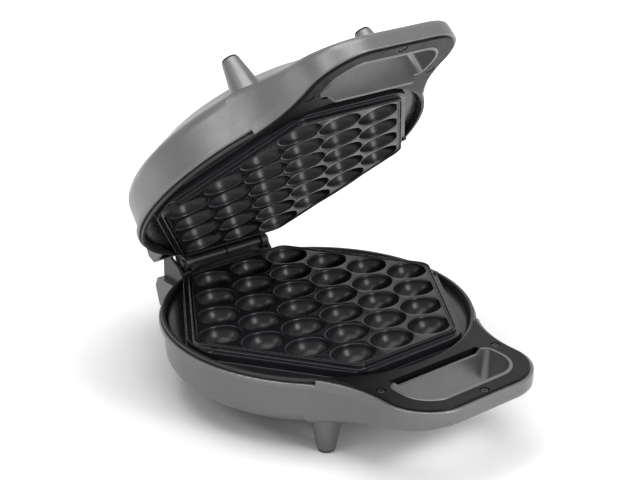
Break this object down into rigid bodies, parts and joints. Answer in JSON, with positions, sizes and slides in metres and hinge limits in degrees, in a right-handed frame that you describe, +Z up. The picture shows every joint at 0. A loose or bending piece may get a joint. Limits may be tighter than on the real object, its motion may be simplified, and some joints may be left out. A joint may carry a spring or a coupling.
{
  "type": "bubble waffle maker",
  "caption": "Bubble waffle maker with two hinged round halves, cast plates of oval cups and hooped handles, lid propped open",
  "frame": {"origin": "bottom centre of the box round the open maker, on the surface it stands on", "axes": "+X runs along the hinge, to the right seen from the handles, +Y from the handles back to the hinge, +Z up"},
  "size_m": [0.2096, 0.2978, 0.2581],
  "materials": {
    "shell_grey": "satin metallic grey lacquer with a fine fleck",
    "bezel_black": "fine matte moulding, charcoal",
    "cover_black": "smooth satin moulding, black",
    "coated_plate": "non-stick coating on cast aluminium, smooth dark sheen",
    "screw_steel": "blackened steel",
    "bare_steel": "plain sheet and wire steel",
    "bright_sheet": "bright pressed sheet",
    "foot_rubber": "soft matte black",
    "phenolic": "dark heat-proof moulding",
    "terminal_white": "cream moulding",
    "board_green": "circuit board",
    "lens_red": "clear tinted lens, red",
    "lens_green": "clear tinted lens, green"
  },
  "bodies": {
    "base": {"base_housing": "shell_grey", "base_feet": "shell_grey", "base_bezel_ring": "bezel_black", "base_handle_cover": "cover_black", "base_plate": "coated_plate", "base_foot_pads": "foot_rubber", "base_reflector": "bright_sheet", "base_handle_screws": "screw_steel", "base_plate_screws": "screw_steel", "base_heating_element": "bare_steel", "base_element_clips": "bare_steel", "base_reflector_screws": "bare_steel", "base_thermal_fuse": "bare_steel", "base_fuse_clip": "bare_steel", "base_foot_screws": "bare_steel", "thermostat": "phenolic", "thermostat_bracket": "bare_steel", "terminal_block": "terminal_white", "terminal_screws": "screw_steel", "cord_gland": "cover_black", "hinge_block": "cover_black", "hinge_pin": "screw_steel", "hinge_block_screws": "screw_steel"},
    "lid": {"lid_housing": "shell_grey", "lid_feet": "shell_grey", "lid_bezel_ring": "bezel_black", "lid_handle_cover": "cover_black", "lid_plate": "coated_plate", "lid_foot_pads": "foot_rubber", "lid_hinge_cover": "cover_black", "lid_reflector": "bright_sheet", "lamp_board": "board_green", "power_lamp": "lens_red", "ready_lamp": "lens_green", "lid_handle_screws": "screw_steel", "lid_plate_screws": "screw_steel", "lid_heating_element": "bare_steel", "lid_element_clips": "bare_steel", "lid_reflector_screws": "bare_steel", "lid_thermal_fuse": "bare_steel", "lid_fuse_clip": "bare_steel", "lid_foot_screws": "bare_steel", "lamp_board_screws": "screw_steel", "hinge_cover_screws": "screw_steel"}
  },
  "joints": [
    {"name": "lid_hinge", "type": "hinge", "parent": "base", "child": "lid", "pos_m": [0, 0.11174, 0.0614], "axis": [-1, 0, 0], "range_deg": [-46.1, 17.9]}
  ]
}
